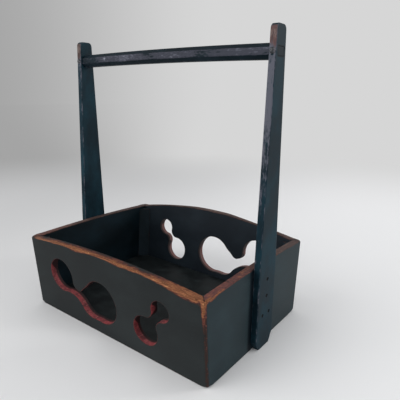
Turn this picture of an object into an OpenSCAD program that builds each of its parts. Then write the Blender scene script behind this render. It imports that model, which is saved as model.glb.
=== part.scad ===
// Lacquered wooden carrying tray with a fixed bar handle. All sizes in millimetres.
// X runs along the long boards, Y from the front to the back and Z up. The origin is
// the middle of the footprint, on the surface that the tray stands on.

/* [Tray] */
// Length over the two end boards
tray_l = 280; // [260:5:400]
// Depth over the two long boards, at their bottom edges
tray_d = 194; // [160:1:300]
// Height of the walls at the corners
corner_h = 96.5; // [90:0.5:130]
// Outward lean of the long boards, in degrees
splay = 4.5; // [1:0.5:8]
// Thickness of the long boards
side_t = 9.5; // [8:0.5:14]
// Thickness of the end boards
end_t = 9; // [8:0.5:14]
// Rise of the front board's rim above its corners
front_rise = 6.5; // [2:0.5:20]
// Rise of the back board's rim above its corners
back_rise = 14.5; // [2:0.5:20]
// Rise of the end boards' rims above their corners
end_rise = 2; // [1:0.5:12]

/* [Base board] */
// Thickness of the base board
base_t = 8; // [5:0.5:10]
// Thickness of the tongue left round its edges, flush with its underside
tongue_t = 5; // [2.5:0.5:7]
// Height of its underside above the table
base_lift = 6; // [3:0.5:7]
// Depth of the grooves that the tongue is housed in
groove = 3; // [1.5:0.5:5]
// Room for the base board to swell, in the grooves and against walls and posts
base_gap = 0.2; // [0.1:0.1:0.5]

/* [Corner posts] */
// Leg of the three-cornered post in each inner corner
post_leg = 12; // [8:1:18]
// Distance from the corner rim down to the post's top
post_drop = 4; // [2:1:20]

/* [Large gourd cut-out] */
// Belly centre from the middle of the board, towards the board's left end
large_x = 11; // [0:1:20]
// Belly centre above the board's bottom edge
large_z = 42.6; // [40:0.2:46]
// Radius of the belly
large_belly_r = 26.4; // [20:0.2:28]
// Radius of the heel, the low swell beside the belly
large_heel_r = 20; // [16:0.5:21]
// Heel centre beside the belly centre
heel_x = 17; // [12:0.5:22]
// Heel centre below the belly centre
heel_z = 6.6; // [4:0.2:8]
// Radius of the lobe above the waist
large_lobe_r = 21.4; // [16:0.2:24]
// Lobe centre beside the belly centre
large_lobe_x = 70.6; // [66:0.2:78]
// Lobe centre above the belly centre
large_lobe_z = 15; // [8:0.5:20]
// Radius of the waist's tight upper side
waist_r = 9.6; // [9:0.2:16]
// Radius of the waist's long lower side
waist_sweep_r = 30; // [25:1:60]
// Radius that blends the heel into the belly
belly_blend_r = 50; // [30:5:80]

/* [Small gourd cut-out] */
// Belly centre from the middle of the board, towards the board's right end
small_x = 59.6; // [50:0.2:64]
// Belly centre above the board's bottom edge
small_z = 34.4; // [33:0.2:38]
// Radius of the belly
small_belly_r = 17.2; // [12:0.2:18]
// Radius of the lobe above the waist
small_lobe_r = 12; // [9:0.2:14]
// Lobe centre beside the belly centre
small_lobe_x = 23; // [20:0.5:26]
// Lobe centre above the belly centre
small_lobe_z = 31; // [29:0.5:33]
// Radius of both sides of the waist
small_waist_r = 10; // [8:0.5:16]
// How much higher both gourds sit in the back board
back_lift = 4.5; // [0:0.5:8]

/* [Uprights] */
// Height of the uprights above the table
upright_h = 341; // [280:0.5:420]
// Thickness of the uprights
upright_t = 7.6; // [6:0.2:12]
// Width of the uprights beside the tray
upright_w = 35.5; // [28:0.5:50]
// Width of the uprights at the head
head_w = 18.4; // [16:0.2:24]
// Radius of the head's corners
head_r = 5; // [2:0.5:8]
// Width of the foot's end face
foot_w = 23; // [16:0.5:28]
// Height of the foot's cut corners
foot_h = 11; // [5:0.5:20]

/* [Handle bar] */
// Distance from the uprights' tops down to the bar's axis, at its ends
bar_drop = 24.5; // [15:0.5:80]
// Depth of the bar, front to back
bar_w = 16; // [12:0.5:17]
// Height of the bar's section
bar_h = 15.4; // [12:0.2:24]
// Flats planed off the bar's four edges
bar_edge = 4.5; // [2:0.5:5.5]
// Rise of the bar between its ends
bar_rise = 1.5; // [0.5:0.5:10]
// Width of the tenon
tenon_w = 12; // [8:0.5:13]
// Height of the tenon
tenon_h = 8.5; // [6:0.5:12]
// Clearance round the tenon in its mortise
tenon_gap = 0.15; // [0.05:0.05:0.3]

/* [Pegs and nails] */
// Diameter of the peg that locks each tenon
peg_d = 3; // [2:0.2:4]
// Length of the peg's shank
peg_l = 17; // [14:0.5:18]
// Diameter of the peg's round head
peg_head_d = 6.4; // [5:0.2:7]
// Height of the peg's round head
peg_head_h = 2; // [1:0.2:3]
// Diameter of the nail shanks
nail_d = 2; // [1.6:0.2:3]
// Length of the nails
nail_l = 14; // [11:0.5:15]
// Diameter of the nail heads
nail_head_d = 4; // [3.4:0.2:5]
// Thickness of the nail heads
nail_head_t = 0.8; // [0.6:0.1:1.2]
// Depth of the nail heads below the upright's face
nail_sink = 0.3; // [0.2:0.1:0.6]
// Height of the upper single nail
nail_top_z = 83; // [74:1:86]
// Height of the lower single nail
nail_mid_z = 63.3; // [54:1:70]
// Height of the pair of nails
nail_pair_z = 41.3; // [30:1:48]
// Distance between the nails of the pair
nail_pair_w = 14; // [10:1:20]
// Clearance round pegs and nails in their holes
pin_gap = 0.05; // [0.02:0.01:0.1]

/* [Hidden] */

lacquer = [0.10, 0.12, 0.13];
worn_lacquer = [0.16, 0.15, 0.15];
iron = [0.20, 0.16, 0.14];
over = 1;                                   // how far a cut runs past a face
level_rim = 2;                              // level stretch of rim beside each mitre
bite = 0.02;                                // how far a waist circle cuts into its lobes
$fn = 64;

half_l = tray_l / 2;
inner_l = half_l - end_t;                   // middle of the tray to an end board's inner face
lean_t = side_t / cos(splay);               // a long board's thickness, measured level
wall_top = corner_h + max(front_rise, back_rise, end_rise) + over;
tongue_top = base_lift + tongue_t;
tongue_half_l = inner_l + groove - base_gap;
tongue_half_d = inner_d(base_lift + tongue_t / 2) + groove - base_gap;
taper_z = corner_h + end_rise;              // the uprights narrow above the end boards' rims
taper_a = atan((upright_w - head_w) / 2 / (upright_h - taper_z));
upright_mid = half_l + upright_t / 2;
bar_z = upright_h - bar_drop;
bar_radius = (half_l * half_l + bar_rise * bar_rise) / (2 * bar_rise);

// Half depth over the long boards' outer faces, and between their inner faces, at height z
function outer_d(z) = tray_d / 2 + z * tan(splay);
function inner_d(z) = outer_d(z) - lean_t;

// Width of an upright at height z, above the rim
function upright_width(z) = upright_w - 2 * (z - taper_z) * tan(taper_a);

// Centre of the circle of radius r that touches circles [x, y, radius] a and b from outside,
// on the side of the line from a to b that side (1 left, -1 right) names
function touching(a, b, r, side) =
    let (d = norm([b.x - a.x, b.y - a.y]),
         u = [b.x - a.x, b.y - a.y] / d,
         ra = a.z + r,
         rb = b.z + r,
         along = (d * d + ra * ra - rb * rb) / (2 * d),
         off = side * sqrt(ra * ra - along * along))
    [a.x + along * u.x - off * u.y, a.y + along * u.y + off * u.x];

// ---- shapes shared by several pieces ----

// Fills between two lobes up to the round waist on one side
module web(a, b, r, side) {
    c = touching(a, b, r, side);
    difference() {
        polygon([[a.x, a.y], c, [b.x, b.y]]);
        translate(c) circle(r + bite, $fn = 128);
    }
}

module lobe(c) {
    translate([c.x, c.y]) circle(c.z, $fn = 96);
}

// Bottle gourd lying on its side, seen from outside the board
module large_gourd() {
    belly = [-large_x, large_z, large_belly_r];
    heel = [belly.x - heel_x, belly.y - heel_z, large_heel_r];
    top = [belly.x - large_lobe_x, belly.y + large_lobe_z, large_lobe_r];
    for (c = [belly, heel, top]) lobe(c);
    web(top, heel, waist_r, 1);
    web(top, heel, waist_sweep_r, -1);
    for (side = [1, -1]) web(heel, belly, belly_blend_r, side);
}

// Small gourd that leans towards the end of the board
module small_gourd() {
    belly = [small_x, small_z, small_belly_r];
    top = [belly.x + small_lobe_x, belly.y + small_lobe_z, small_lobe_r];
    for (c = [belly, top]) lobe(c);
    for (side = [1, -1]) web(belly, top, small_waist_r, side);
}

// Board edge-on: level bottom, and a rim that is level at the corners and arched between them
module rim_outline(half_w, half_arch, rise) {
    r = (half_arch * half_arch + rise * rise) / (2 * rise);
    translate([-half_w, 0]) square([2 * half_w, corner_h]);
    intersection() {
        translate([-half_arch - over, corner_h - over])
            square([2 * (half_arch + over), rise + 2 * over]);
        translate([0, corner_h + rise - r]) circle(r, $fn = 900);
    }
}

// Stands its children on the front board's bottom outer edge, leaning out with the board
module leaning() {
    translate([0, -tray_d / 2, 0]) rotate([splay, 0, 0]) children();
}

// What lies outside the mitre at the front right corner
module mitre_waste() {
    reach = 2 * end_t;
    drop = reach * side_t / end_t;
    leaning() translate([0, 0, -side_t]) linear_extrude(wall_top + 2 * side_t)
        polygon([[half_l + reach, -drop], [inner_l - reach, side_t + drop],
                 [inner_l - reach, -2 * drop], [half_l + reach, -2 * drop]]);
}

// The base board's lower layer. With room round it, the block that would fill the grooves.
module tongue_layer(room) {
    x = tongue_half_l + room;
    y = tongue_half_d + room;
    translate([-x, -y, base_lift]) cube([2 * x, 2 * y, tongue_t]);
}

// Long board with its rim, mitres, groove and both gourds
module long_board(rise, lift) {
    difference() {
        intersection() {
            leaning() translate([0, 0, -side_t]) linear_extrude(wall_top + 2 * side_t)
                polygon([[-half_l, 0], [half_l, 0], [inner_l, side_t], [-inner_l, side_t]]);
            rotate([90, 0, 0]) linear_extrude(outer_d(wall_top) + side_t)
                rim_outline(half_l + over, inner_l - level_rim, rise);
        }
        leaning() translate([0, side_t + over, lift]) rotate([90, 0, 0])
            linear_extrude(side_t + 2 * over) {
                large_gourd();
                small_gourd();
            }
        tongue_layer(base_gap);
    }
}

// End board at the right, with its rim, mitres, groove and nail holes
module end_board() {
    difference() {
        translate([inner_l, 0, 0]) rotate([90, 0, 90]) linear_extrude(end_t)
            rim_outline(outer_d(wall_top), inner_d(corner_h) - level_rim, end_rise);
        mitre_waste();
        mirror([0, 1, 0]) mitre_waste();
        tongue_layer(base_gap);
        nail_places() nail_hole();
    }
}

// Three-cornered post in the front right corner, standing on the base board's tongue layer
module post() {
    intersection() {
        leaning() translate([inner_l, side_t, 0]) linear_extrude(wall_top)
            polygon([[0, 0], [0, post_leg], [-post_leg, 0]]);
        translate([0, -outer_d(wall_top), tongue_top])
            cube([half_l, outer_d(wall_top), corner_h - post_drop - tongue_top]);
    }
}

// Upright's face, with the foot's corners cut and the head's corners rounded
module upright_face() {
    shoulder_z = upright_h - head_r;
    shoulder = upright_width(shoulder_z) / 2;
    polygon([[-foot_w / 2, 0], [foot_w / 2, 0], [upright_w / 2, foot_h], [upright_w / 2, taper_z],
             [shoulder, shoulder_z], [-shoulder, shoulder_z],
             [-upright_w / 2, taper_z], [-upright_w / 2, foot_h]]);
    for (side = [-1, 1]) translate([side * (shoulder - head_r), shoulder_z]) circle(head_r);
    translate([head_r - shoulder, shoulder_z - over])
        square([2 * (shoulder - head_r), head_r + over]);
}

// Right upright, with its mortise, peg hole and nail holes
module upright() {
    difference() {
        translate([half_l, 0, 0]) rotate([90, 0, 90]) linear_extrude(upright_t) upright_face();
        translate([half_l - over, -tenon_w / 2 - tenon_gap, bar_z - tenon_h / 2 - tenon_gap])
            cube([upright_t + 2 * over, tenon_w + 2 * tenon_gap, tenon_h + 2 * tenon_gap]);
        peg_place() peg_hole();
        nail_places() nail_hole();
    }
}

// Stands its children on the right upright's front edge at the bar, with Z into the wood
module peg_place() {
    translate([upright_mid, -upright_width(bar_z) / 2, bar_z])
        rotate([-90 - taper_a, 0, 0]) children();
}

module peg_hole() {
    translate([0, 0, -over]) cylinder(h = over + peg_l + pin_gap, d = peg_d + 2 * pin_gap);
}

// Peg with a round head, driven in from the front
module peg() {
    dome_r = (peg_head_d * peg_head_d / 4 + peg_head_h * peg_head_h) / (2 * peg_head_h);
    peg_place() {
        cylinder(h = peg_l, d = peg_d);
        intersection() {
            translate([0, 0, dome_r - peg_head_h]) sphere(dome_r);
            translate([0, 0, -peg_head_h - over]) cylinder(h = peg_head_h + over, d = 2 * peg_head_d);
        }
    }
}

// Stands its children at each nail of the right upright, with Z out of the head
module nail_places() {
    for (p = [[0, nail_top_z], [0, nail_mid_z],
              [-nail_pair_w / 2, nail_pair_z], [nail_pair_w / 2, nail_pair_z]])
        translate([half_l + upright_t - nail_sink, p.x, p.y]) rotate([0, 90, 0]) children();
}

module nail_hole() {
    translate([0, 0, -nail_l - pin_gap])
        cylinder(h = nail_l + pin_gap + nail_sink + over, d = nail_d + 2 * pin_gap);
    translate([0, 0, -nail_head_t])
        cylinder(h = nail_head_t + nail_sink + over, d = nail_head_d + 2 * pin_gap);
}

module nail() {
    translate([0, 0, -nail_l]) cylinder(h = nail_l - nail_head_t / 2, d = nail_d);
    translate([0, 0, -nail_head_t]) cylinder(h = nail_head_t, d = nail_head_d);
}

// Section of the bar, as radius and depth
module bar_section() {
    h = bar_h / 2;
    w = bar_w / 2;
    polygon([for (s = [[1, 1], [-1, 1], [-1, -1], [1, -1]])
             each s.x * s.y > 0
                ? [[s.x * h, s.y * (w - bar_edge)], [s.x * (h - bar_edge), s.y * w]]
                : [[s.x * (h - bar_edge), s.y * w], [s.x * h, s.y * (w - bar_edge)]]]);
}

module mirror_left() {
    mirror([1, 0, 0]) children();
}

// ---- the pieces ----

module front_panel() {
    color(lacquer) long_board(front_rise, 0);
}

module back_panel() {
    color(lacquer) rotate([0, 0, 180]) long_board(back_rise, back_lift);
}

module right_end_panel() {
    color(lacquer) end_board();
}

module left_end_panel() {
    color(lacquer) mirror_left() end_board();
}

// Rebated base board: a tongue round it in the grooves, and a floor that clears walls and posts
module base_board() {
    x = inner_l - base_gap;
    y = inner_d(tongue_top) - base_gap;
    c = post_leg;
    color(lacquer) {
        tongue_layer(0);
        translate([0, 0, base_lift]) linear_extrude(base_t)
            polygon([[x, y - c], [x - c, y], [c - x, y], [-x, y - c],
                     [-x, c - y], [c - x, -y], [x - c, -y], [x, c - y]]);
    }
}

module front_right_post() {
    color(lacquer) post();
}

module front_left_post() {
    color(lacquer) mirror_left() post();
}

module back_right_post() {
    color(lacquer) mirror([0, 1, 0]) post();
}

module back_left_post() {
    color(lacquer) rotate([0, 0, 180]) post();
}

module right_upright() {
    color(worn_lacquer) upright();
}

module left_upright() {
    color(worn_lacquer) mirror_left() upright();
}

// Eight-sided bar, gently arched, with a tenon through each upright
module handle_bar() {
    sweep = 2 * asin((half_l + bar_h) / bar_radius);
    color(worn_lacquer) difference() {
        union() {
            intersection() {
                translate([0, 0, bar_z + bar_rise - bar_radius]) rotate([90, 0, 0])
                    rotate([0, 0, 90 - sweep / 2]) rotate_extrude(angle = sweep, $fn = 2400)
                        translate([bar_radius, 0]) bar_section();
                translate([-half_l, -bar_w, bar_z - bar_h]) cube([tray_l, 2 * bar_w, 2 * bar_h]);
            }
            for (side = [-1, 1]) translate([side * (half_l + upright_t / 2 - over / 2), 0, bar_z])
                cube([upright_t + over, tenon_w, tenon_h], center = true);
        }
        peg_place() peg_hole();
        mirror_left() peg_place() peg_hole();
    }
}

module right_bar_peg() {
    color(iron) peg();
}

module left_bar_peg() {
    color(iron) mirror_left() peg();
}

module right_upright_nails() {
    color(iron) nail_places() nail();
}

module left_upright_nails() {
    color(iron) mirror_left() nail_places() nail();
}

front_panel();
back_panel();
left_end_panel();
right_end_panel();
base_board();
front_left_post();
front_right_post();
back_left_post();
back_right_post();
left_upright();
right_upright();
handle_bar();
left_bar_peg();
right_bar_peg();
left_upright_nails();
right_upright_nails();
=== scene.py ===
import math

import bmesh
import bpy
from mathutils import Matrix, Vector, noise
from mathutils.kdtree import KDTree


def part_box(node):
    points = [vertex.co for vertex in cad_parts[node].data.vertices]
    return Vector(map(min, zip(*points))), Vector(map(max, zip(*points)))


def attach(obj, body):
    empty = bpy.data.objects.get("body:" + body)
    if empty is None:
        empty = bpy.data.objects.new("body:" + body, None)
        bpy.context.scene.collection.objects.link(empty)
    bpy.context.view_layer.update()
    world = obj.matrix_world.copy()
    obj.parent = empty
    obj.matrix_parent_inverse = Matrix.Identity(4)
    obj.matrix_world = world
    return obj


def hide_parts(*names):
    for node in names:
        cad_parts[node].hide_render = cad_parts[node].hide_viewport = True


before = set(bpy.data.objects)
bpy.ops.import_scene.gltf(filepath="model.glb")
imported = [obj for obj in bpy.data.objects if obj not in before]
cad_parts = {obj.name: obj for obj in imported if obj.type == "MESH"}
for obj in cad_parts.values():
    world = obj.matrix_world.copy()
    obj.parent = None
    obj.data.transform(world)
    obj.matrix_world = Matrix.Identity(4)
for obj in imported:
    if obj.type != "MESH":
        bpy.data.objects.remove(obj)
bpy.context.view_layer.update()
mm = 0.001
print("frame loaded:", len(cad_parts), "nodes")

# Sizes that the softened pieces share with the CAD model
tray = {
    "halfLength": 140,
    "halfDepth": 97,  # at the long boards' bottom edges
    "cornerHeight": 96.5,
    "splay": math.radians(4.5),
    "sideThickness": 9.5,
    "endThickness": 9,
    "grooveBottom": 6,
    "grooveTop": 11,
}
handle = {
    "middle": 143.8,  # of an upright's thickness
    "outerFace": 147.6,
    "barEnd": 139.5,  # beyond this, just short of the upright, the bar is a tenon
    "tenonEnd": 147,  # and beyond this it has come through
    "pegHeight": 316.5,
    "nails": ((0, 83), (0, 63.3), (-7, 41.3), (7, 41.3)),  # across and up, on both uprights
}
# Zones round the openings: half the width, bottom and top
zones = {
    "gourds": (126, 14, 93),
    "endBoardNails": (12, 30, 90),
    "uprightNails": (11, 32, 90),
    "pegHole": (2.2, 313, 320),
    "mortise": (6.6, 311, 322),
}
# How the CAD pieces become soft ones
shaping = {
    "weld": 0.002, "reweld": 0.001,  # corners nearer than this become one, before and after
    "flat": 0.05,  # faces that turn less than this become one
    "sharp": 28,  # edges that turn less than this are left as they are
    "round": 32,  # edges that turn less than this are shaded as round
    "bevelSteps": 3,
    "leastCell": 0.3,  # the smallest last cell, as a share of a whole one
    "onPlane": 0.5, "onMitre": 0.6,  # how near an edge has to be to belong to a plane
    "footTop": 1,  # edges below this height belong to the foot
    "rimDepth": 1.5, "rimSlope": 0.6,  # what counts as the rim's top
    "wallSlope": 0.75,  # a face that looks out more than this is no wall of an opening
    "jointDirt": 1.8,  # how far dirt reaches from a joint
}


def hexColour(code):
    # sRGB hex to the linear colour that the sockets take
    channels = [int(code[i:i + 2], 16) / 255 for i in (1, 3, 5)]
    return tuple(c / 12.92 if c <= 0.04045 else ((c + 0.055) / 1.055) ** 2.4
                 for c in channels) + (1.0,)


def addNode(tree, kind, inputs=None, **settings):
    # A node or socket among the inputs is linked, a hex colour or a number is set
    node = tree.nodes.new("ShaderNode" + kind)
    for name, value in settings.items():
        setattr(node, name, value)
    for key, value in (inputs or {}).items():
        if isinstance(value, bpy.types.Node):
            value = value.outputs[0]
        if isinstance(value, bpy.types.NodeSocket):
            tree.links.new(value, node.inputs[key])
        else:
            node.inputs[key].default_value = hexColour(value) if isinstance(value, str) else value
    return node


def newMaterial(name, roughness, specular, metallic=0.0):
    material = bpy.data.materials.new(name)
    material.use_nodes = True
    tree = material.node_tree
    tree.nodes.clear()
    shader = addNode(tree, "BsdfPrincipled", {"Roughness": roughness, "Metallic": metallic,
                                              "Specular IOR Level": specular})
    addNode(tree, "OutputMaterial", {"Surface": shader})
    return material, tree, shader


def streaks(tree, axis, acrossMm, alongMm, detail=3.0, seed=0.0):
    # A cloudy pattern drawn out along one axis, as brush marks and wood grain are
    scale = [1000 / acrossMm] * 3
    scale["XYZ".index(axis)] = 1000 / alongMm
    place = addNode(tree, "TexCoord").outputs["Object"]
    moved = addNode(tree, "Mapping", {"Vector": place, "Scale": scale,
                                      "Location": (seed, seed * 1.7, seed * 0.6)})
    return addNode(tree, "TexNoise", {"Vector": moved, "Scale": 1.0, "Detail": detail,
                                      "Roughness": 0.58})


def coated(tree, colour, coats):
    # Each coat: what drives it, where it starts and where it is full, its most, its colour
    for value, start, full, most, coat in coats:
        share = addNode(tree, "MapRange", {"Value": value, "From Min": start, "From Max": full,
                                           "To Max": most}, interpolation_type="SMOOTHSTEP")
        colour = addNode(tree, "MixRGB", {0: share, 1: colour, 2: coat})
    return colour


# Urushi: black lacquer brushed over a red bengara undercoat on cypress. It stays dark and
# satin on the faces and rubs through at the edges: brown film, red undercoat, bare wood.
# A real brush mark is about 0.3 mm wide: it is drawn coarser, or it would not show.
boardLook = {
    "lacquer": "#171b1c", "lacquerPale": "#212627",
    "film": "#33231f", "undercoat": "#6a3c31", "undercoatDark": "#432621",
    "wood": "#8e593d", "woodDark": "#5c3826", "woodPale": "#cf9765",
    "agedCoat": "#483c39", "agedWood": "#625651",  # the same where it has gone grey
    "dust": "#777b78", "dustAndSheen": "#4c5253", "speckFrom": 0.73, "dirtAndShade": "#070809",
    "roughness": 0.55, "glossier": 0.05, "duller": 0.07,  # and how far it strays to either side
    "bareRougher": 0.22, "specular": 0.15,
    "worn": 0.0, "ragged": 1.0,
    "chipPush": 0.13, "patchPush": 0.15, "grainPush": 0.11,  # how far each moves the wear about
    "brushMark": 1.1, "brushLength": 70,  # width and length of a brush mark
    "grain": 0.8, "grainLength": 22,  # and of the grain
    "cloud": 34, "chip": 1.8, "patch": 8, "speck": 0.9,  # sizes of clouds, chips and so on
    "coatDepth": 0.12, "brushDepth": 0.08, "brushStrength": 0.35,
}
# The end boards' lacquer is lighter and bluer than the long boards': a painted sheen. Its
# dirtAndShade colour is the navy of the painted shadow beside the upright.
endBoardSheenLook = dict(boardLook, lacquer="#1c2a2f", lacquerPale="#2a393e", undercoat="#70443d",
                    undercoatDark="#4d3131", dirtAndShade="#07121a")
# The far end board is darker still: painted shade.
farEndShadedLook = dict(endBoardSheenLook, lacquer="#09161c", lacquerPale="#11222a")
backBoardLook = dict(boardLook, lacquer="#171e25", lacquerPale="#212a31")  # a little bluer
# On the uprights the film is a lavender grey: worn lacquer, and on the right upright's front also a
# painted sheen.
handleLook = dict(boardLook, lacquer="#0b1f28", lacquerPale="#15333e", film="#575963",
                  undercoat="#7a5653", undercoatDark="#4d4146", wood="#95857f",
                  woodDark="#6b5552", woodPale="#c4bab5", roughness=0.5, specular=0.1, cloud=22,
                  ragged=0.6, dirtAndShade="#060b10")
barLook = dict(handleLook, lacquer="#0e1a21", lacquerPale="#19262e", film="#3b3d47",
               undercoat="#686a76", undercoatDark="#3f414b", wood="#a9abb5", woodDark="#6b6d78",
               woodPale="#cbcdd4", agedCoat="#4b4d57", agedWood="#8b8d97", ragged=0.9)
postLook = dict(boardLook, lacquer="#1a2429", lacquerPale="#26323a")
# the tray's floor is scuffed by what has lain on it
floorLook = dict(boardLook, lacquer="#111517", lacquerPale="#222829", cloud=13, speckFrom=0.66,
                 worn=-0.35)
# Where each layer starts to show and where it is full, as the level of wear rises
wearLayers = {"film": (0.1, 0.26), "undercoat": (0.38, 0.52), "wood": (0.66, 0.78),
              "woodPale": (1.05, 1.25)}


def lacquerMaterial(name, look, axis):
    material, tree, shader = newMaterial(name, look["roughness"], look["specular"])
    wear, dirtAndShade, dustAndSheen, greyed = (addNode(tree, "Attribute", attribute_name=painted).outputs["Fac"]
                                 for painted in ("wear", "dirtAndShade", "dustAndSheen", "greyed"))
    brush = streaks(tree, axis, look["brushMark"], look["brushLength"])
    cloud = streaks(tree, axis, look["cloud"], look["cloud"] * 1.6, detail=4.0)
    chip = streaks(tree, axis, look["chip"], look["chip"] * 2.2, detail=4.0, seed=3.1)
    patch = streaks(tree, axis, look["patch"], look["patch"] * 2.4, detail=2.0, seed=7.7)
    grain = streaks(tree, axis, look["grain"], look["grainLength"], seed=1.3)
    speck = streaks(tree, axis, look["speck"], look["speck"], detail=2.0, seed=5.9)

    # ragged wear: the edge level pushed about by chips, patches and streaks along the grain
    level = addNode(tree, "Math", {0: wear, 1: look["worn"]})
    for pattern, push in ((chip, look["chipPush"]), (patch, look["patchPush"]),
                          (grain, look["grainPush"])):
        push *= look["ragged"]
        shift = addNode(tree, "MapRange", {"Value": pattern, "From Min": 0.3, "From Max": 0.7,
                                           "To Min": -push, "To Max": push})
        level = addNode(tree, "Math", {0: level, 1: shift})
    # dustAndSheen: a paler grey film, partly dust and partly a painted sheen
    faces = coated(tree, look["lacquer"], [(cloud, 0.35, 0.75, 1.0, look["lacquerPale"]),
                                           (dustAndSheen, 0.0, 1.0, 0.8, look["dustAndSheen"]),
                                           (speck, look["speckFrom"], look["speckFrom"] + 0.07,
                                            0.4, look["dust"])])
    red = coated(tree, look["undercoatDark"], [(chip, 0.3, 0.7, 1.0, look["undercoat"]),
                                               (greyed, 0.0, 1.0, 0.85, look["agedCoat"])])
    wood = coated(tree, look["woodDark"], [(grain, 0.35, 0.65, 1.0, look["wood"]),
                                           (speck, 0.6, 0.7, 0.7, look["woodPale"]),
                                           (greyed, 0.0, 1.0, 0.85, look["agedWood"])])
    # the last coat follows dirtAndShade: real dirt in the joints and dark rings round the nails, and
    # a painted shadow beside the right upright on the end board, painted shade round the peg and low
    # on the uprights' front faces
    colour = coated(tree, faces, [(level, *wearLayers["film"], 1.0, look["film"]),
                                  (level, *wearLayers["undercoat"], 1.0, red),
                                  (level, *wearLayers["wood"], 1.0, wood),
                                  (level, *wearLayers["woodPale"], 0.8, look["woodPale"]),
                                  (dirtAndShade, 0.4, 0.9, 0.92, look["dirtAndShade"])])

    # worn wood is rougher, and lies lower by the thickness of the lacquer
    satin = addNode(tree, "MapRange", {"Value": cloud, "From Min": 0.3, "From Max": 0.7,
                                       "To Min": look["roughness"] - look["glossier"],
                                       "To Max": look["roughness"] + look["duller"]})
    bare = addNode(tree, "MapRange", {"Value": level, "From Min": 0.3, "From Max": 0.8})
    rough = addNode(tree, "Math", {0: bare, 1: look["bareRougher"], 2: satin},
                    operation="MULTIPLY_ADD")
    coat = addNode(tree, "Bump", {"Strength": 1.0, "Distance": look["coatDepth"] * mm,
                                  "Height": bare}, invert=True)
    relief = addNode(tree, "Math", {0: brush, 1: grain})
    marks = addNode(tree, "Bump", {"Strength": look["brushStrength"], "Normal": coat,
                                   "Distance": look["brushDepth"] * mm, "Height": relief})
    for socket, node in (("Base Color", colour), ("Roughness", rough), ("Normal", marks)):
        tree.links.new(node.outputs[0], shader.inputs[socket])
    return material


# Bengara: iron-red lacquer on the sawn walls of the cut-outs, matt and a little uneven.
# The black of the inner face runs over its inner part, and painted shade darkens the walls that look
# down.
cutWallLook = {
    "red": "#883b3e", "redDark": "#53262a", "rub": "#bd8078", "inner": "#1b1617",
    "aged": "#6f524e", "roughness": 0.6, "specular": 0.2,
    "cloud": 7, "sawMark": 0.7, "sawLength": 9, "sawDepth": 0.1,
    "downFrom": 0.05, "downGain": 1.2, "downMost": 0.6,  # painted shade, near black, on the walls that look down
}


def cutWallMaterial():
    material, tree, shader = newMaterial("bengaraLacquerCutWall", cutWallLook["roughness"],
                                         cutWallLook["specular"])
    blackInnerAndShade, greyed = (addNode(tree, "Attribute", attribute_name=painted).outputs["Fac"]
                      for painted in ("blackInnerAndShade", "greyed"))
    cloud = streaks(tree, "Z", cutWallLook["cloud"], cutWallLook["cloud"])
    saw = streaks(tree, "Y", cutWallLook["sawMark"], cutWallLook["sawLength"], seed=2.2)
    edge = addNode(tree, "Math", {0: cloud, 1: 0.2, 2: blackInnerAndShade}, operation="MULTIPLY_ADD")
    colour = coated(tree, cutWallLook["redDark"], [(cloud, 0.3, 0.7, 1.0, cutWallLook["red"]),
                                                   (saw, 0.56, 0.72, 0.6, cutWallLook["rub"]),
                                                   (greyed, 0.5, 1.0, 0.8, cutWallLook["aged"]),
                                                   (edge, 0.68, 0.82, 0.92, cutWallLook["inner"])])
    bump = addNode(tree, "Bump", {"Strength": 0.4, "Distance": cutWallLook["sawDepth"] * mm,
                                  "Height": saw})
    tree.links.new(colour.outputs[0], shader.inputs["Base Color"])
    tree.links.new(bump.outputs[0], shader.inputs["Normal"])
    return material


# Forged iron nail heads, oxidised nearly black with a little rust
nailLook = {"dark": "#070707", "light": "#15110f", "roughness": 0.75, "specular": 0.1,
            "metallic": 0.3, "spot": 0.8, "depth": 0.15}
# Peg heads under the same black lacquer, polished grey by the hand
pegLook = {"dark": "#22272b", "light": "#6c6a70", "roughness": 0.36, "specular": 0.45,
           "metallic": 0.0, "spot": 1.6, "depth": 0.1}


def spottedMaterial(name, look):
    # Two tones in small clouds, with pits: iron skin or rubbed lacquer
    material, tree, shader = newMaterial(name, look["roughness"], look["specular"], look["metallic"])
    pits = streaks(tree, "X", look["spot"], look["spot"], 4.0)
    bump = addNode(tree, "Bump", {"Strength": 0.5, "Distance": look["depth"] * mm, "Height": pits})
    colour = coated(tree, look["dark"], [(pits, 0.42, 0.7, 1.0, look["light"])])
    tree.links.new(colour.outputs[0], shader.inputs["Base Color"])
    tree.links.new(bump.outputs[0], shader.inputs["Normal"])
    return material


frontLacquer = lacquerMaterial("urushiLacquerFrontBoard", boardLook, "X")
backLacquer = lacquerMaterial("urushiLacquerBackBoard", backBoardLook, "X")
endSheenLacquer = lacquerMaterial("urushiLacquerEndBoardPaintedSheen", endBoardSheenLook, "Y")
farEndShadedLacquer = lacquerMaterial("urushiLacquerFarEndBoardPaintedShade", farEndShadedLook, "Y")
uprightLacquer = lacquerMaterial("urushiLacquerUpright", handleLook, "Z")
barLacquer = lacquerMaterial("urushiLacquerBar", barLook, "X")
postLacquer = lacquerMaterial("urushiLacquerPost", postLook, "Z")
floorLacquer = lacquerMaterial("urushiLacquerScuffedFloor", floorLook, "X")
cutWall = cutWallMaterial()
iron = spottedMaterial("forgedIronOxidised", nailLook)
pegLacquer = spottedMaterial("urushiLacquerPeg", pegLook)
print("materials made:", len(bpy.data.materials))


def weldedMesh(node):
    # The CAD piece as whole flat faces again, without its triangles
    mesh = bmesh.new()
    mesh.from_mesh(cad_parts[node].data)
    bmesh.ops.remove_doubles(mesh, verts=mesh.verts, dist=shaping["weld"] * mm)
    bmesh.ops.dissolve_limit(mesh, angle_limit=math.radians(shaping["flat"]), verts=mesh.verts,
                             edges=mesh.edges)
    mesh.normal_update()
    return mesh


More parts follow.
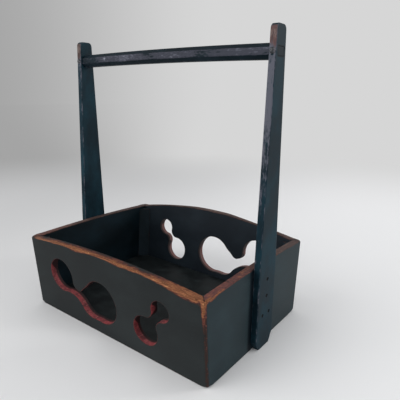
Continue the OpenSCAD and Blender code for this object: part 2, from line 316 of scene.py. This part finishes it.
def sharpEdges(mesh, kindOf):
    # Edges by the kind that kindOf gives their middle, with sample points along them
    edges, points = {}, {}
    for edge in mesh.edges:
        if not edge.is_manifold or edge.calc_face_angle(0) < math.radians(shaping["sharp"]):
            continue
        a, b = (v.co for v in edge.verts)
        kind = kindOf((a + b) / 2 / mm)
        if kind is None:
            continue
        edges.setdefault(kind, []).append(edge)
        steps = max(1, int((b - a).length / mm))
        points.setdefault(kind, []).extend(a.lerp(b, i / steps) for i in range(steps + 1))
    trees = {}
    for kind, spots in points.items():
        trees[kind] = KDTree(len(spots))
        for i, spot in enumerate(spots):
            trees[kind].insert(spot, i)
        trees[kind].balance()
    return edges, trees


def splitBy(mesh, point, normal, cutOff=False):
    # Splits the faces along a plane, or takes off what lies beyond it and closes the cut
    cut = bmesh.ops.bisect_plane(mesh, geom=mesh.verts[:] + mesh.edges[:] + mesh.faces[:],
                                 dist=1e-7, plane_co=point, plane_no=normal, clear_outer=cutOff)
    rim = [e for e in cut["geom_cut"] if isinstance(e, bmesh.types.BMEdge)]
    if cutOff and rim:
        bmesh.ops.edgenet_fill(mesh, edges=rim)


def roundCorner(mesh, sideX, sideY, radius):
    # The same planes cut both boards of a corner, so that they share one round edge
    slope = tray["splay"]
    along = Vector((sideX, 0, 0))
    out = Vector((0, sideY * math.cos(slope), -math.sin(slope)))
    up = Vector((0, sideY * math.sin(slope), math.cos(slope)))
    foot = Vector((sideX * tray["halfLength"], sideY * tray["halfDepth"], 0))
    top = tray["cornerHeight"] / math.cos(slope) - radius
    # how far the planes tilt, and how high the middle of the round is: the upright edge,
    # the upper corner and the lower corner
    tilts = ((0, radius), (35, top), (62, top), (-35, radius), (-62, radius))
    turns = (15, 30, 45, 60, 75)
    for tilt, level in tilts:
        middle = foot + up * level - (along + out) * radius
        for turn in turns:
            t, e = math.radians(turn), math.radians(tilt)
            normal = (along * math.cos(t) + out * math.sin(t)) * math.cos(e) + up * math.sin(e)
            splitBy(mesh, (middle + normal * radius) * mm, normal, cutOff=True)


def intoCells(mesh, low, high, cells):
    # Planes that cut the faces into small cells, which can carry the wear
    for axis, size in cells.items():
        normal = Vector([float(axis == i) for i in range(3)])
        at = low[axis] + size * mm
        while at < high[axis] - shaping["leastCell"] * size * mm:
            splitBy(mesh, normal * at, normal)
            at += size * mm


def onRim(spot, normal):
    return normal.z > shaping["rimSlope"] and spot.z > tray["cornerHeight"] - shaping["rimDepth"]


def outerDepth(z):
    return tray["halfDepth"] + z * math.tan(tray["splay"])


def inZone(name, across, height):
    halfWidth, low, high = zones[name]
    return abs(across) < halfWidth and low < height < high


wearing = {
    "inset": 0.41,  # how far inside a sharp edge the soft one lies, as a share of its softness
    "waves": ((23, 0.5), (7, 0.3)),  # the reach sways along an edge: length and share of each
    "breakOff": 2.5,  # how abruptly the wear ends on a face
    "facing": 0.8,  # how squarely a face has to look the way of a rubbed place
}
greying = {"backFrom": -70, "backWay": 110, "leftFrom": 60, "leftWay": 160}


def wearAt(point, normal, trees, look):
    # 1 on a worn edge, 0 as far from it as the wear reaches, and below 0 beyond
    spot = point / mm
    level = -1.0
    for kind, (reach, rimReach, most) in look["wear"].items():
        if kind not in trees:
            continue
        near, _, distance = trees[kind].find(point)
        near = near / mm
        # a soft edge lies a little inside the sharp one
        away = max(0.0, distance / mm - wearing["inset"] * look["soften"].get(kind, 0))
        stretch = 1
        for length, sway in wearing["waves"]:
            stretch += sway * noise.noise(near / length)
        flat = onRim(spot, normal)
        for centre, radius, gain, extra, hotKind, faceOnly in look.get("hotSpots", ()):
            share = max(0.0, 1 - (near - Vector(centre)).length / radius)
            if kind == hotKind and not (flat and faceOnly):
                stretch += gain * share
                most += extra * share
        # evenly less over the rim's top, but down the faces the lacquer breaks off short
        away /= stretch * (rimReach if flat else reach)
        level = max(level, min(most, 1 - (away if flat else away ** wearing["breakOff"])))
    # rubbed places wear grey, and on the right upright's front this is also a painted sheen
    for centre, radius, most, facing in look.get("rubbedAndSheen", ()):
        if normal.dot(Vector(facing)) > wearing["facing"]:
            level = max(level, most * (1 - (spot - Vector(centre)).length / radius))
    return max(-1.0, level)


def spotShare(spot, spots):
    # How strong the strongest of some round spots is here
    return max((most * (1 - (spot - Vector(centre)).length / radius)
                for centre, radius, most in spots), default=0.0)


def greyedAt(spot):
    # Bare places are brown at the front right and go grey towards the back and the left
    back = (spot.y - greying["backFrom"]) / greying["backWay"]
    left = (-spot.x - greying["leftFrom"]) / greying["leftWay"]
    return min(1.0, max(0.0, back) + max(0.0, left))


def workedPiece(node, label, materials, look):
    # A copy of a CAD piece with soft edges, rounded corners and its wear painted on
    mesh = weldedMesh(node)
    edges, trees = sharpEdges(mesh, look["kindOf"])
    for kind, softness in look["soften"].items():
        live = [e for e in edges.get(kind, []) if e.is_valid]
        if live and kind != "corner":
            bmesh.ops.bevel(mesh, geom=live, offset=softness * mm, segments=shaping["bevelSteps"],
                            profile=0.5, affect="EDGES", clamp_overlap=False, loop_slide=True)
    for sideX, sideY in look.get("corners", ()):
        roundCorner(mesh, sideX, sideY, look["soften"]["corner"])
    intoCells(mesh, *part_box(node), look["cells"])
    for axis, place in look.get("fineCuts", ()):
        normal = Vector([float(axis == i) for i in range(3)])
        splitBy(mesh, normal * place * mm, normal)
    bmesh.ops.remove_doubles(mesh, verts=mesh.verts, dist=shaping["reweld"] * mm)
    bmesh.ops.triangulate(mesh, faces=[f for f in mesh.faces if len(f.verts) > 4])
    mesh.normal_update()

    painted = {name: mesh.verts.layers.float.new(name)
               for name in ("wear", "dirtAndShade", "dustAndSheen", "greyed", "blackInnerAndShade")}
    for vert in mesh.verts:
        spot = vert.co / mm
        dirtAndShade = spotShare(spot, look.get("stainsAndShade", ()))
        if "joint" in trees:
            gap = trees["joint"].find(vert.co)[2] / mm
            dirtAndShade = max(dirtAndShade, 1 - gap / look.get("jointDirt", shaping["jointDirt"]))
        depth = outerDepth(spot.z) - abs(spot.y)
        vert[painted["wear"]] = wearAt(vert.co, vert.normal, trees, look)
        vert[painted["dirtAndShade"]] = dirtAndShade
        vert[painted["dustAndSheen"]] = spotShare(spot, look.get("dustAndSheenSpots", ()))
        vert[painted["greyed"]] = greyedAt(spot)
        # painted shade also darkens the walls that look down
        downward = cutWallLook["downGain"] * (cutWallLook["downFrom"] - vert.normal.z)
        downward = min(cutWallLook["downMost"], max(0.0, downward))
        vert[painted["blackInnerAndShade"]] = depth / tray["sideThickness"] + downward
    for face in mesh.faces:
        face.smooth = True
        face.material_index = isCutWall(face) if len(materials) > 1 else 0
    data = bpy.data.meshes.new(label)
    mesh.to_mesh(data)
    mesh.free()
    for material in materials:
        data.materials.append(material)
    data.set_sharp_from_angle(angle=math.radians(shaping["round"]))
    piece = bpy.data.objects.new(label, data)
    bpy.context.scene.collection.objects.link(piece)
    piece.modifiers.new("evenNormals", "WEIGHTED_NORMAL").keep_sharp = True
    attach(piece, "root")
    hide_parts(node)
    print("worked:", label, len(data.polygons), "faces")


def isCutWall(face):
    # Walls of the gourds: neither the board's faces nor its rim, ends or groove
    spot = face.calc_center_median() / mm
    inside = inZone("gourds", spot.x, spot.z)
    return 1 if inside and abs(face.normal.y) < shaping["wallSlope"] else 0


def inGroove(spot, outside):
    near = shaping["onPlane"]
    return tray["grooveBottom"] - near < spot.z < tray["grooveTop"] + near and not outside


def longBoardKind(side):
    near = shaping["onPlane"]
    middleOf = tray["sideThickness"] / 2 / math.cos(tray["splay"])

    def kindOf(spot):
        outside = spot.y * side > outerDepth(spot.z) - middleOf
        if inGroove(spot, outside):
            return None
        if abs(spot.x) > tray["halfLength"] - tray["endThickness"] - near:
            return "corner" if abs(spot.x) > tray["halfLength"] - near else "joint"
        if spot.z > tray["cornerHeight"] - near:
            return "rimOuter" if outside else "rimInner"
        if spot.z < shaping["footTop"]:
            return "foot" if outside else None
        return "cutOuter" if outside else "cutInner"
    return kindOf


def endBoardKind(spot):
    outside = abs(spot.x) > tray["halfLength"] - tray["endThickness"] / 2
    if inGroove(spot, outside) or inZone("endBoardNails", spot.y, spot.z):
        return None
    mitre = outerDepth(spot.z) - tray["sideThickness"] - shaping["onMitre"]
    if abs(spot.y) > mitre and spot.z > shaping["footTop"]:
        return "corner" if outside else "joint"
    if spot.z > tray["cornerHeight"] - shaping["onPlane"]:
        return "rimOuter" if outside else "rimInner"
    return "foot" if outside and spot.z < shaping["footTop"] else None


# Soften: how far in each kind of edge is rounded. Cells: their size along x (0), y (1), z (2).
# Wear of each kind of edge: reach on the faces, reach on the rim's top, and its most.
# Hot spots: centre, radius, longer reach, more wear, the kind of edge, on the faces only.
# Rubbed and sheen: centre, radius, most and the way the face looks. Dust and sheen, and
# stains and shade: centre, radius, most.
frontBoard = {
    "kindOf": longBoardKind(-1),
    "soften": {"rimOuter": 1.1, "rimInner": 0.7, "foot": 1.0, "cutOuter": 0.5, "cutInner": 0.4,
               "corner": 3.6},
    "corners": ((1, -1), (-1, -1)),
    "cells": {0: 2.0, 2: 2.0, 1: 2.0},
    "wear": {"rimOuter": (1.7, 9.8, 0.94), "rimInner": (0.8, 1.2, 0.24), "corner": (1.4, 2, 0.3),
             "foot": (0.8, 0.8, 0.2), "cutOuter": (0.7, 0.7, 0.3), "cutInner": (0.7, 0.7, 0.28)},
    "hotSpots": [((114, -104.5, 98), 44, 2.8, 0.42, "rimOuter", False),
                 ((140, -104, 97), 32, 2.8, 0.95, "corner", False),
                 ((-45, -105, 103), 25, 1.8, 0.1, "rimOuter", True),
                 ((30, -105, 103), 30, 1.2, 0.1, "rimOuter", True)],
    "rubbedAndSheen": [((140, -104.6, 96.5), 9, 1.0, (0.6, -0.6, 0.5))],
    # a paler patch low towards the right: partly dust, partly a painted sheen
    "dustAndSheenSpots": [((70, -98, -20), 150, 0.3)],
}
backBoard = dict(frontBoard, kindOf=longBoardKind(1), corners=((1, 1), (-1, 1)),
                 wear={"rimOuter": (1.2, 12, 0.6), "rimInner": (0.8, 5, 0.5),
                       "corner": (1.2, 2, 0.4), "foot": (0.8, 0.8, 0.2),
                       "cutOuter": (0.7, 0.7, 0.3), "cutInner": (0.7, 0.7, 0.3)},
                 hotSpots=[((0, 104, 110), 50, 0.4, 0.2, "rimOuter", False)], rubbedAndSheen=[], dustAndSheenSpots=[])
rightEndBoard = {
    "kindOf": endBoardKind,
    "soften": {"rimOuter": 1.0, "rimInner": 0.7, "foot": 1.0, "corner": 3.6},
    "corners": ((1, -1), (1, 1)),
    "cells": {1: 2.0, 2: 2.0, 0: 2.0},
    "wear": {"rimOuter": (1.1, 20, 0.6), "rimInner": (0.9, 2, 0.4), "corner": (1.0, 2, 0.32),
             "foot": (0.8, 0.8, 0.2)},
    "hotSpots": [((140, -96, 97), 18, 3.2, 0.4, "rimOuter", True),
                 ((140, -104, 96), 22, 1.2, 0.7, "corner", False)],
    # paler towards the back: partly dust, partly a painted sheen
    "dustAndSheenSpots": [((140, 60, 40), 110, 0.25)],
    # along the upright, a thin line of dirt on both sides; the wider band on the front side is a
    # painted shadow of the upright
    "stainsAndShade": [((140, -19, z), 10, 1.2) for z in range(2, 98, 4)]
              + [((140, 17, z), 4, 1.0) for z in range(2, 98, 2)],
}
leftEndBoard = dict(rightEndBoard, corners=((-1, -1), (-1, 1)), hotSpots=[], dustAndSheenSpots=[], stainsAndShade=[])

workedPiece("front_panel", "frontBoard", [frontLacquer, cutWall], frontBoard)
workedPiece("back_panel", "backBoard", [backLacquer, cutWall], backBoard)
workedPiece("right_end_panel", "rightEndBoard", [endSheenLacquer], rightEndBoard)
workedPiece("left_end_panel", "leftEndBoard", [farEndShadedLacquer], leftEndBoard)


def uprightKind(spot):
    nailHole = inZone("uprightNails", spot.y, spot.z)
    pegHole = inZone("pegHole", abs(spot.x) - handle["middle"], spot.z)
    if nailHole or pegHole:
        return None
    return "joint" if inZone("mortise", spot.y, spot.z) else "edge"


def uprightLook(side, front):
    # front: how far the front face is rubbed grey: wear from the hand, and a painted sheen that is
    # stronger on the right upright
    middle, outerFace = side * handle["middle"], side * handle["outerFace"]
    return {
        "kindOf": uprightKind,
        "soften": {"edge": 1.0},
        "cells": {0: 2.6, 1: 2.6, 2: 3.0},
        "wear": {"edge": (0.6, 0.6, 0.16)},
        "jointDirt": 2.6,
        "rubbedAndSheen": [((side * 144, -9.5, 332), 26, 0.85, (0, -1, 0)),
                   ((side * 144, -9.5, 300), 200, front, (0, -1, 0))],
        # dark rings round the nail heads; round the peg, painted shade of its recess; lower down,
        # painted shade on the front face by the tray
        "stainsAndShade": [((outerFace, y, z), 3.6, 1.6) for y, z in handle["nails"]]
                  + [((middle, -9.4, handle["pegHeight"]), 4.2, 1.3)]
                  + [((middle, -17.7, z), 7, 0.8) for z in range(12, 96, 4)],  # by the tray
        # the axis and place of further cuts, which let the dark rings close in round the nails
        "fineCuts": [(1 + i, nail[i] + off) for nail in handle["nails"] for i in (0, 1)
                     for off in (-2.9, -1.9, -0.9, 0.9, 1.9, 2.9)],
    }


# the right upright's front carries more of the painted sheen than the left's
workedPiece("right_upright", "rightUpright", [uprightLacquer], uprightLook(1, 0.3))
workedPiece("left_upright", "leftUpright", [uprightLacquer], uprightLook(-1, 0.1))


def barKind(spot):
    if abs(spot.x) > handle["barEnd"]:
        return "tenon" if abs(spot.x) > handle["tenonEnd"] else None
    return "edge"


bar = {
    "kindOf": barKind,
    "soften": {"edge": 0.8, "tenon": 0.3},
    "cells": {0: 2.5, 1: 2.7, 2: 2.6},
    "wear": {"edge": (0.6, 0.6, 0.16)},
    "rubbedAndSheen": [((-60, -8, 320), 75, 0.5, (0, -1, 0)), ((20, -8, 322), 60, 0.45, (0, -1, 0)),
               ((110, -8, 320), 80, 0.4, (0, -1, 0)), ((-95, -8, 318), 5, 1.0, (0, -1, 0))],
}
workedPiece("handle_bar", "handleBar", [barLacquer], bar)

post = {
    "kindOf": lambda spot: "edge",
    "soften": {"edge": 0.4}, "cells": {0: 3.0, 1: 3.0, 2: 4.0},
    "wear": {"edge": (0.6, 0.6, 0.2)},
}
for node, label in (("front_left_post", "frontLeftPost"), ("front_right_post", "frontRightPost"),
                    ("back_left_post", "backLeftPost"), ("back_right_post", "backRightPost")):
    workedPiece(node, label, [postLacquer], post)


def finishNode(node, material):
    # A piece that stays as the CAD made it takes its finish
    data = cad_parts[node].data
    data.materials.clear()
    data.materials.append(material)


finishNode("base_board", floorLacquer)
for side in ("left", "right"):
    finishNode(side + "_bar_peg", pegLacquer)
    finishNode(side + "_upright_nails", iron)
print("finishes on the CAD pieces done")

studio = {
    "floor": "#f0f0f0", "floorDark": "#cacaca", "backdrop": "#d6d6d6", "backdropDark": "#a4a4a4",
    "sky": "#fafbfd",
    "floorReach": 8000, "floorDrop": 0.05, "floorRoughness": 0.8, "floorSpecular": 0.3,
    "fadeFrom": 600, "fadeTo": 1500,  # where the floor turns into the backdrop
    "floorWay": (0.98, 0.18, 0), "backdropWay": (0.8, 0.6, 0),  # the ways in which they get paler: painted shade, darker towards the left
    "floorTurn": (-0.6, 0.2), "backdropTurn": (-0.5, 0.05),  # from where to where along them
    "horizon": 0.5, "zenith": 0.86,  # the soft light's strength, low and overhead
    "lampsAim": 120,  # the height that the lamps look at; then each one's place, size and power
    "lamps": {"key": ((-1000, -1700, 1150), 2100, 22), "fill": ((1500, 1400, 800), 600, 10),
              "window": ((-900, -1750, 260), 600, 4)},
}


def paler(tree, place, surface):
    # Painted shade: a soft change of tone along the floor's or the backdrop's way, darker towards
    # the left
    along = addNode(tree, "VectorMath", {0: place, 1: studio[surface + "Way"]},
                    operation="DOT_PRODUCT").outputs["Value"]
    light = (along, *studio[surface + "Turn"], 1.0, studio[surface])
    return coated(tree, studio[surface + "Dark"], [light])


def seenDirectly(tree):
    # 1 for the eye and for what a glossy or clear surface shows of the background
    path = addNode(tree, "LightPath")
    seen = path.outputs["Is Camera Ray"]
    for ray in ("Is Glossy Ray", "Is Transmission Ray"):
        seen = addNode(tree, "Math", {0: seen, 1: path.outputs[ray]}, operation="MAXIMUM")
    return seen


def floorMaterial():
    # Matt plaster, with painted shade darker towards the left; far off, the eye sees the backdrop's
    # tone in its place
    material, tree, shader = newMaterial("mattPlasterFloor", studio["floorRoughness"],
                                         studio["floorSpecular"])
    output = next(n for n in tree.nodes if n.type == "OUTPUT_MATERIAL")
    place = addNode(tree, "TexCoord").outputs["Object"]
    plaster = paler(tree, place, "floor")
    tree.links.new(plaster.outputs[0], shader.inputs["Base Color"])
    distance = addNode(tree, "VectorMath", {0: place}, operation="LENGTH").outputs["Value"]
    far = addNode(tree, "MapRange", {"Value": distance, "From Min": studio["fadeFrom"] * mm,
                                     "From Max": studio["fadeTo"] * mm},
                  interpolation_type="SMOOTHSTEP")
    share = addNode(tree, "Math", {0: far, 1: seenDirectly(tree)}, operation="MULTIPLY")
    way = addNode(tree, "VectorMath", {0: place}, operation="NORMALIZE")
    tone = paler(tree, way, "backdrop")
    glow = addNode(tree, "Emission", {"Color": tone, "Strength": 1.0})
    surface = addNode(tree, "MixShader", {0: share, 1: shader, 2: glow})
    tree.links.new(surface.outputs[0], output.inputs["Surface"])
    return material


def makeFloor():
    reach = studio["floorReach"] * mm
    corners = [(-reach, -reach, 0), (reach, -reach, 0), (reach, reach, 0), (-reach, reach, 0)]
    mesh = bpy.data.meshes.new("floor")
    mesh.from_pydata(corners, [], [(0, 1, 2, 3)])
    mesh.materials.append(floorMaterial())
    floor = bpy.data.objects.new("floor", mesh)
    floor.location.z = -studio["floorDrop"] * mm
    bpy.context.scene.collection.objects.link(floor)


def makeWorld():
    # Soft light all round; the eye sees the backdrop, with its painted shade darker towards the left
    world = bpy.data.worlds.new("softStudio")
    bpy.context.scene.world = world
    world.use_nodes = True
    tree = world.node_tree
    tree.nodes.clear()
    way = addNode(tree, "TexCoord").outputs["Generated"]
    height = addNode(tree, "SeparateXYZ", {0: way}).outputs["Z"]
    strength = addNode(tree, "MapRange", {"Value": height, "From Min": 0.0, "From Max": 1.0,
                                          "To Min": studio["horizon"], "To Max": studio["zenith"]})
    ambient = addNode(tree, "Background", {"Color": studio["sky"], "Strength": strength})
    tone = paler(tree, way, "backdrop")
    backdrop = addNode(tree, "Background", {"Color": tone, "Strength": 1.0})
    both = addNode(tree, "MixShader", {0: seenDirectly(tree), 1: ambient, 2: backdrop})
    addNode(tree, "OutputWorld", {"Surface": both})


def makeLamp(name, place, size, power):
    lamp = bpy.data.lights.new(name, "AREA")
    lamp.shape = "DISK"
    lamp.size = size * mm
    lamp.energy = power
    piece = bpy.data.objects.new(name, lamp)
    piece.location = Vector(place) * mm
    aim = Vector((0, 0, studio["lampsAim"] * mm)) - piece.location
    piece.rotation_euler = aim.to_track_quat("-Z", "Y").to_euler()
    bpy.context.scene.collection.objects.link(piece)


cameraLook = {
    "focal": 407.863, "imageWidth": 400,  # in pixels
    "yaw": 0.6457, "pitch": 0.2550, "roll": 0.0133,  # in radians
    "place": (333.315, -370.190, 276.668),
    "sensor": 36,
}


def makeCamera():
    yaw, pitch, roll = (cameraLook[k] for k in ("yaw", "pitch", "roll"))
    ahead = Vector((-math.sin(yaw) * math.cos(pitch), math.cos(yaw) * math.cos(pitch),
                    -math.sin(pitch)))
    right = ahead.cross(Vector((0, 0, 1))).normalized()
    up = right.cross(ahead)
    data = bpy.data.cameras.new("camera")
    data.sensor_width = cameraLook["sensor"]
    data.sensor_fit = "HORIZONTAL"
    data.lens = cameraLook["focal"] * data.sensor_width / cameraLook["imageWidth"]
    camera = bpy.data.objects.new("camera", data)
    matrix = camera.matrix_world.copy()
    for i, axis in enumerate((right * math.cos(roll) + up * math.sin(roll),
                              up * math.cos(roll) - right * math.sin(roll), -ahead)):
        for j in range(3):
            matrix[j][i] = axis[j]
    matrix.translation = Vector(cameraLook["place"]) * mm
    camera.matrix_world = matrix
    bpy.context.scene.collection.objects.link(camera)
    bpy.context.scene.camera = camera


makeFloor()
makeWorld()
for name, (place, size, power) in studio["lamps"].items():
    makeLamp(name, place, size, power)
makeCamera()
bpy.context.scene.view_settings.view_transform = "Standard"
print("stage, light and camera done")

bpy.context.view_layer.update()
